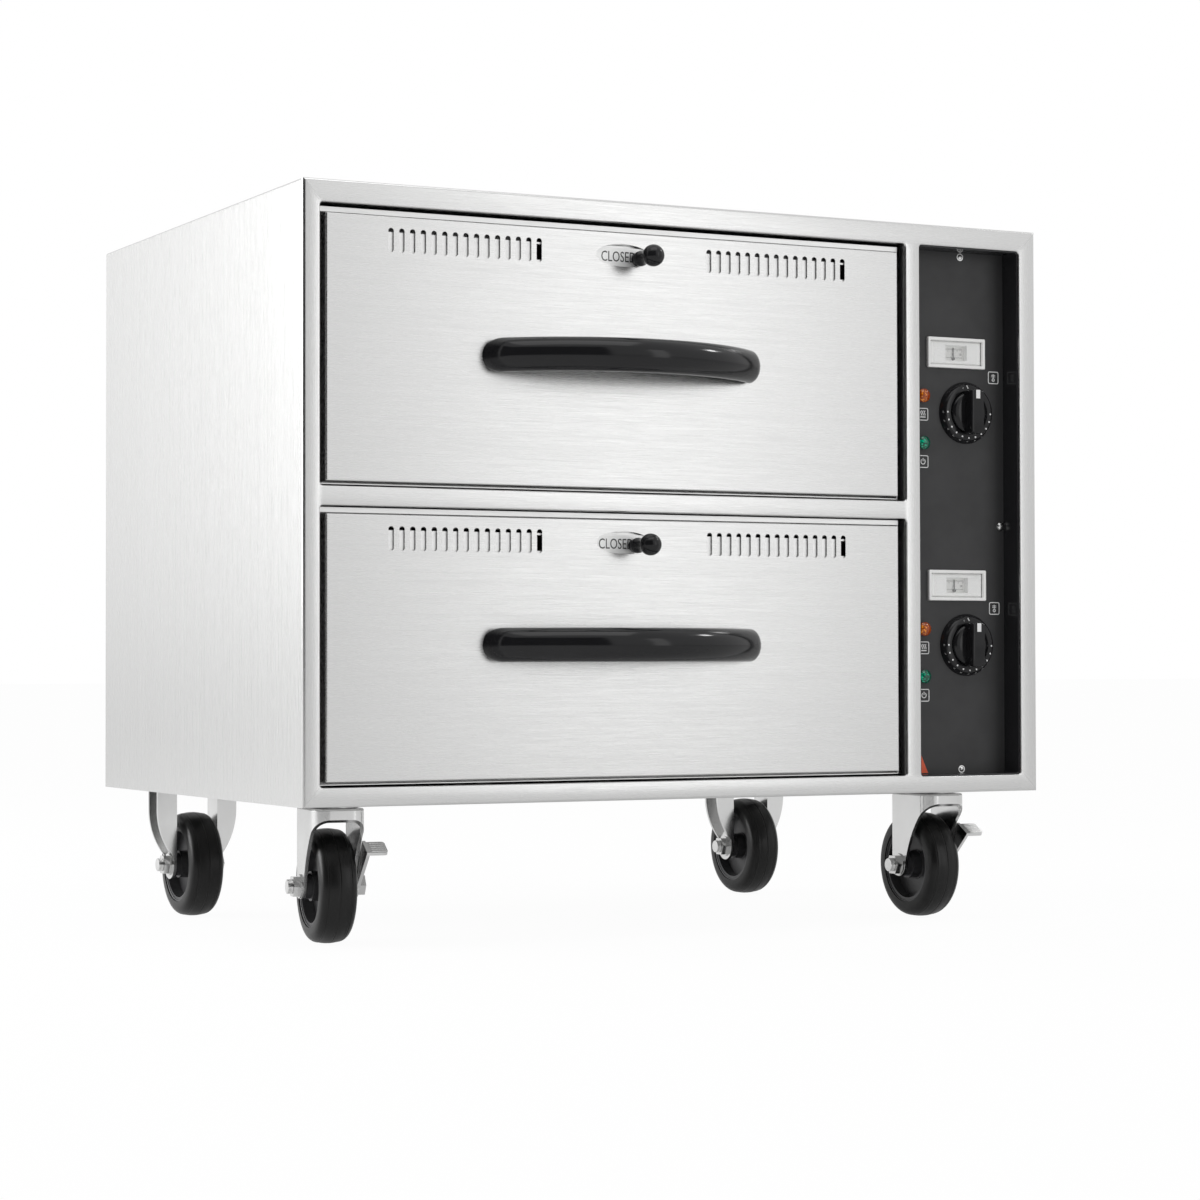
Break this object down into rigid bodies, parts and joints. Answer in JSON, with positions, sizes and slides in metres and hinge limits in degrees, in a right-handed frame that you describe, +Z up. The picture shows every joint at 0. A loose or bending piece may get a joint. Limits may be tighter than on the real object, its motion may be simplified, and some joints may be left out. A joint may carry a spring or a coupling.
{
  "type": "two-drawer food warmer on casters",
  "caption": "Free-standing stainless food warmer with two bow-handled drawers holding deep pans, sliding vents, a recessed control panel and rolling casters, front ones swivelling with brakes.",
  "frame": {"origin": "on the floor under the middle of the bounding box", "axes": "+X to the right seen from the front, +Y to the back, +Z up"},
  "size_m": [0.74, 0.596, 0.65],
  "materials": {
    "stainless_face": "satin, grain along each rail",
    "stainless_casing": "satin, upright grain",
    "stainless_front": "satin, level grain",
    "zinc_sheet": "plain mill sheet",
    "black_nylon": "matt",
    "terminal_plastic": "matt",
    "blanket": "fibrous",
    "element_sheath": "heat-tinted",
    "recess_lining": "gloss black",
    "charcoal_plate": "satin charcoal",
    "black_gloss": "gloss black",
    "control_body": "matt",
    "amber_lens": "faceted amber",
    "green_lens": "faceted green",
    "white_plastic": "satin white",
    "clear_lens": "clear",
    "zinc_plate": "bright zinc plate",
    "bright_runner": "bright",
    "pan_steel": "bright",
    "slider_steel": "satin",
    "pointer_black": "matt",
    "tread_rubber": "smooth black",
    "wheel_grey": "satin dark grey"
  },
  "bodies": {
    "cabinet": {"face_frame": "stainless_face", "outer_casing": "stainless_casing", "base_pan": "zinc_sheet", "back_panel": "zinc_sheet", "upper_cavity_liner": "zinc_sheet", "lower_cavity_liner": "zinc_sheet", "fixed_runners": "zinc_sheet", "cable_gland": "black_nylon", "terminal_block": "terminal_plastic", "insulation_blankets": "blanket", "upper_heating_element": "element_sheath", "lower_heating_element": "element_sheath", "control_recess_frame": "recess_lining", "control_plate": "charcoal_plate", "dial_bezels": "black_gloss", "thermostat_bodies": "control_body", "amber_pilot_lamps": "amber_lens", "green_pilot_lamps": "green_lens", "thermometer_cases": "white_plastic", "thermometer_lenses": "clear_lens", "front_caster_plates": "zinc_plate", "rear_left_caster_fork": "zinc_plate", "rear_right_caster_fork": "zinc_plate", "rear_axle_bolts": "zinc_plate"},
    "upper_drawer": {"upper_drawer_front": "stainless_front", "upper_drawer_backer": "zinc_sheet", "upper_drawer_tray": "zinc_sheet", "upper_drawer_runners": "bright_runner", "upper_food_pan": "pan_steel", "upper_handle": "black_gloss"},
    "upper_middle_slides": {"upper_middle_runners": "bright_runner"},
    "upper_vent": {"upper_vent_slider": "slider_steel", "upper_vent_knob": "black_gloss"},
    "upper_knob": {"upper_thermostat_knob": "black_gloss"},
    "upper_pointer": {"upper_thermometer_pointer": "pointer_black"},
    "lower_drawer": {"lower_drawer_front": "stainless_front", "lower_drawer_backer": "zinc_sheet", "lower_drawer_tray": "zinc_sheet", "lower_drawer_runners": "bright_runner", "lower_food_pan": "pan_steel", "lower_handle": "black_gloss"},
    "lower_middle_slides": {"lower_middle_runners": "bright_runner"},
    "lower_vent": {"lower_vent_slider": "slider_steel", "lower_vent_knob": "black_gloss"},
    "lower_knob": {"lower_thermostat_knob": "black_gloss"},
    "lower_pointer": {"lower_thermometer_pointer": "pointer_black"},
    "front_left_caster": {"front_left_caster_fork": "zinc_plate", "front_left_axle_bolt": "zinc_plate"},
    "front_left_brake": {"front_left_brake_lever": "zinc_plate"},
    "front_left_wheel": {"front_left_wheel_tread": "tread_rubber", "front_left_wheel_core": "wheel_grey"},
    "rear_left_wheel": {"rear_left_wheel_tread": "tread_rubber", "rear_left_wheel_core": "wheel_grey"},
    "front_right_caster": {"front_right_caster_fork": "zinc_plate", "front_right_axle_bolt": "zinc_plate"},
    "front_right_brake": {"front_right_brake_lever": "zinc_plate"},
    "front_right_wheel": {"front_right_wheel_tread": "tread_rubber", "front_right_wheel_core": "wheel_grey"},
    "rear_right_wheel": {"rear_right_wheel_tread": "tread_rubber", "rear_right_wheel_core": "wheel_grey"}
  },
  "joints": [
    {"name": "upper_drawer_slide", "type": "slide", "parent": "cabinet", "child": "upper_drawer", "axis": [0, -1, 0], "range_m": [0, 0.38]},
    {"name": "upper_middle_slide", "type": "slide", "parent": "cabinet", "child": "upper_middle_slides", "axis": [0, -1, 0], "range_m": [0, 0.19]},
    {"name": "upper_vent_slide", "type": "slide", "parent": "upper_drawer", "child": "upper_vent", "axis": [-1, 0, 0], "range_m": [0, 0.0249]},
    {"name": "upper_knob_turn", "type": "hinge", "parent": "cabinet", "child": "upper_knob", "pos_m": [0.3075, -0.212, 0.4785], "axis": [0, 1, 0], "range_deg": [-30, 240]},
    {"name": "upper_pointer_swing", "type": "hinge", "parent": "cabinet", "child": "upper_pointer", "pos_m": [0.29735, -0.2, 0.5297], "axis": [0, 1, 0], "range_deg": [-40, 40]},
    {"name": "lower_drawer_slide", "type": "slide", "parent": "cabinet", "child": "lower_drawer", "axis": [0, -1, 0], "range_m": [0, 0.38]},
    {"name": "lower_middle_slide", "type": "slide", "parent": "cabinet", "child": "lower_middle_slides", "axis": [0, -1, 0], "range_m": [0, 0.19]},
    {"name": "lower_vent_slide", "type": "slide", "parent": "lower_drawer", "child": "lower_vent", "axis": [-1, 0, 0], "range_m": [0, 0.0249]},
    {"name": "lower_knob_turn", "type": "hinge", "parent": "cabinet", "child": "lower_knob", "pos_m": [0.3075, -0.212, 0.26], "axis": [0, 1, 0], "range_deg": [-30, 240]},
    {"name": "lower_pointer_swing", "type": "hinge", "parent": "cabinet", "child": "lower_pointer", "pos_m": [0.29735, -0.2, 0.3112], "axis": [0, 1, 0], "range_deg": [-40, 40]},
    {"name": "front_left_swivel", "type": "hinge", "parent": "cabinet", "child": "front_left_caster", "pos_m": [-0.3083, -0.144, 0.119], "axis": [0, 0, 1], "continuous": true},
    {"name": "front_left_brake_press", "type": "hinge", "parent": "front_left_caster", "child": "front_left_brake", "pos_m": [-0.3055, -0.12117, 0.05], "axis": [0.9925, -0.1219, 0], "range_deg": [0, 12]},
    {"name": "front_left_wheel_roll", "type": "hinge", "parent": "front_left_caster", "child": "front_left_wheel", "pos_m": [-0.3055, -0.12117, 0.05], "axis": [0.9925, -0.1219, 0], "continuous": true},
    {"name": "rear_left_wheel_roll", "type": "hinge", "parent": "cabinet", "child": "rear_left_wheel", "pos_m": [-0.3083, 0.218, 0.05], "axis": [1, 0, 0], "continuous": true},
    {"name": "front_right_swivel", "type": "hinge", "parent": "cabinet", "child": "front_right_caster", "pos_m": [0.3083, -0.144, 0.119], "axis": [0, 0, 1], "continuous": true},
    {"name": "front_right_brake_press", "type": "hinge", "parent": "front_right_caster", "child": "front_right_brake", "pos_m": [0.3083, -0.121, 0.05], "axis": [1, 0, 0], "range_deg": [0, 12]},
    {"name": "front_right_wheel_roll", "type": "hinge", "parent": "front_right_caster", "child": "front_right_wheel", "pos_m": [0.3083, -0.121, 0.05], "axis": [1, 0, 0], "continuous": true},
    {"name": "rear_right_wheel_roll", "type": "hinge", "parent": "cabinet", "child": "rear_right_wheel", "pos_m": [0.3083, 0.218, 0.05], "axis": [1, 0, 0], "continuous": true}
  ],
  "couplings": [
    {"joint": "upper_middle_slide", "follows": "upper_drawer_slide", "ratio": 0.5},
    {"joint": "lower_middle_slide", "follows": "lower_drawer_slide", "ratio": 0.5}
  ]
}
